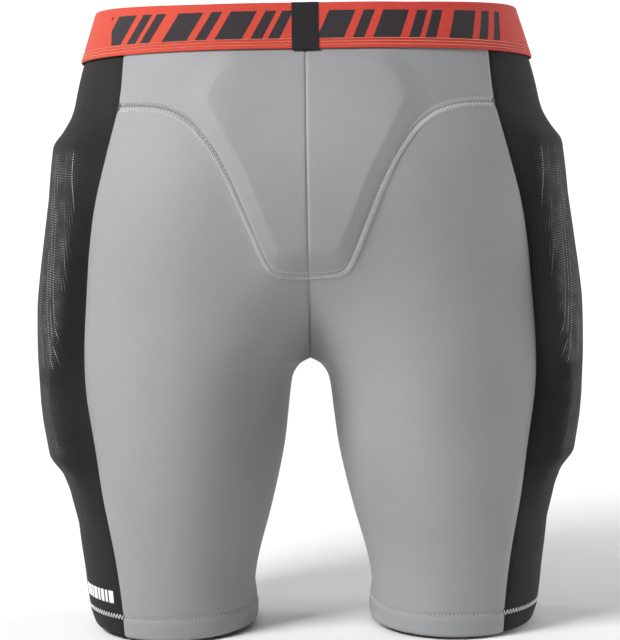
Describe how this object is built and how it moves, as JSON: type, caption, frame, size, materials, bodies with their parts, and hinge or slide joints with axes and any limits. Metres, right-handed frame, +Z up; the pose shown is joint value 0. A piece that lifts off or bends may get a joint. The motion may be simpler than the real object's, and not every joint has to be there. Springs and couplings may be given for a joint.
{
  "type": "padded impact shorts",
  "caption": "Stretch impact shorts with an elastic waistband, a tailbone pad and pocketed hip and thigh pads under knit mesh sides.",
  "frame": {"origin": "centre of the waist opening, level with the waistband's top edge", "axes": "+Z up out of the waist, +X towards the wearer's right, +Y towards the wearer's front"},
  "size_m": [0.4158, 0.2296, 0.46],
  "materials": {
    "band_elastic": "woven matt",
    "black_tape": "woven matt",
    "red_thread": "matt",
    "white_tape": "satin",
    "grey_jersey": "smooth, soft sheen",
    "black_mesh": "knitted matt",
    "pad_foam": "matt",
    "grey_thread": "soft sheen",
    "black_thread": "soft sheen",
    "clear_silicone": "satin",
    "white_print": "satin"
  },
  "bodies": {
    "pelvis": {"waistband": "band_elastic", "waistband_join_tab": "black_tape", "waistband_stitching": "red_thread", "care_label": "white_tape", "seat_yoke_left": "grey_jersey", "seat_yoke_right": "grey_jersey", "front_pouch_left": "grey_jersey", "front_pouch_right": "grey_jersey", "tailbone_pad": "pad_foam", "tailbone_pocket_lining": "black_mesh", "yoke_seam_left": "grey_thread", "yoke_seam_right": "grey_thread", "front_seam_left": "grey_thread", "front_seam_right": "grey_thread", "centre_back_seam": "grey_thread", "centre_front_seam": "grey_thread"},
    "left_leg": {"rear_leg_panel_left": "grey_jersey", "front_leg_panel_left": "grey_jersey", "side_mesh_left": "black_mesh", "pad_pocket_lining_left": "black_mesh", "hip_pad_left": "pad_foam", "thigh_pad_left": "pad_foam", "rear_side_seam_left": "black_thread", "front_side_seam_left": "black_thread", "inseam_left": "grey_thread", "hem_stitching_left": "grey_thread", "gripper_tape_left": "black_tape", "silicone_strip_left": "clear_silicone", "leg_mark_left": "white_print"},
    "right_leg": {"rear_leg_panel_right": "grey_jersey", "front_leg_panel_right": "grey_jersey", "side_mesh_right": "black_mesh", "pad_pocket_lining_right": "black_mesh", "hip_pad_right": "pad_foam", "thigh_pad_right": "pad_foam", "rear_side_seam_right": "black_thread", "front_side_seam_right": "black_thread", "inseam_right": "grey_thread", "hem_stitching_right": "grey_thread", "gripper_tape_right": "black_tape", "silicone_strip_right": "clear_silicone"}
  },
  "joints": [
    {"name": "left_leg_flex", "type": "hinge", "parent": "pelvis", "child": "left_leg", "pos_m": [-0.09, -0.003, -0.2], "axis": [1, 0, 0], "range_deg": [-15, 45], "deforming": ["rear_leg_panel_left", "front_leg_panel_left", "side_mesh_left", "pad_pocket_lining_left", "hip_pad_left", "rear_side_seam_left", "front_side_seam_left"]},
    {"name": "right_leg_flex", "type": "hinge", "parent": "pelvis", "child": "right_leg", "pos_m": [0.09, -0.003, -0.2], "axis": [1, 0, 0], "range_deg": [-15, 45], "deforming": ["rear_leg_panel_right", "front_leg_panel_right", "side_mesh_right", "pad_pocket_lining_right", "hip_pad_right", "rear_side_seam_right", "front_side_seam_right"]}
  ]
}
